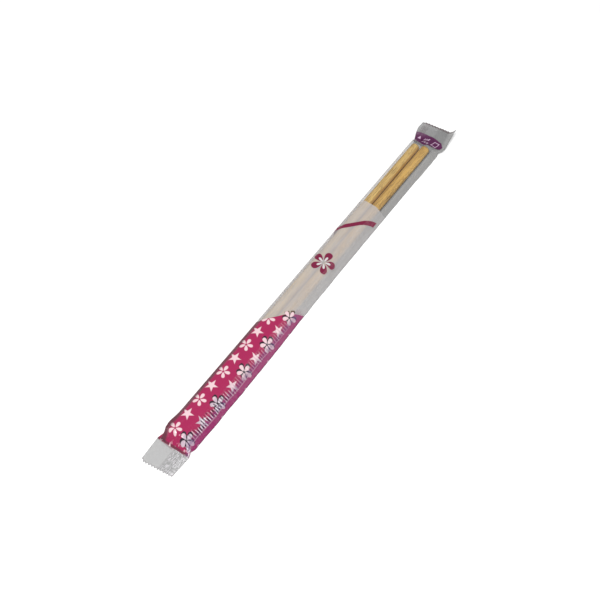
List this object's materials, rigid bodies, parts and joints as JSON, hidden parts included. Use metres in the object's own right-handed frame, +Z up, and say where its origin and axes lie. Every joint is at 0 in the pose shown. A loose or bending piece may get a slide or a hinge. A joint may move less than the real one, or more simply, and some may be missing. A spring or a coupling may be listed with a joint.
{
  "type": "bamboo chopsticks in a film sachet",
  "caption": "Pair of round bamboo chopsticks sealed side by side in a slim printed plastic film sachet with zigzag ends.",
  "frame": {"origin": "under the middle of the sachet's length and width, on the surface that it lies on", "axes": "+X along the sticks to their thin ends and the clear window, +Y to the side where the sticks lie, +Z up"},
  "size_m": [0.2346, 0.0178, 0.0054],
  "materials": {
    "bamboo": "bare, fine lengthwise grain",
    "film": "clear glossy film, printed on the outside"
  },
  "bodies": {
    "root": {"chopstick_outer": "bamboo", "chopstick_inner": "bamboo", "film_sachet": "film"}
  },
  "joints": []
}
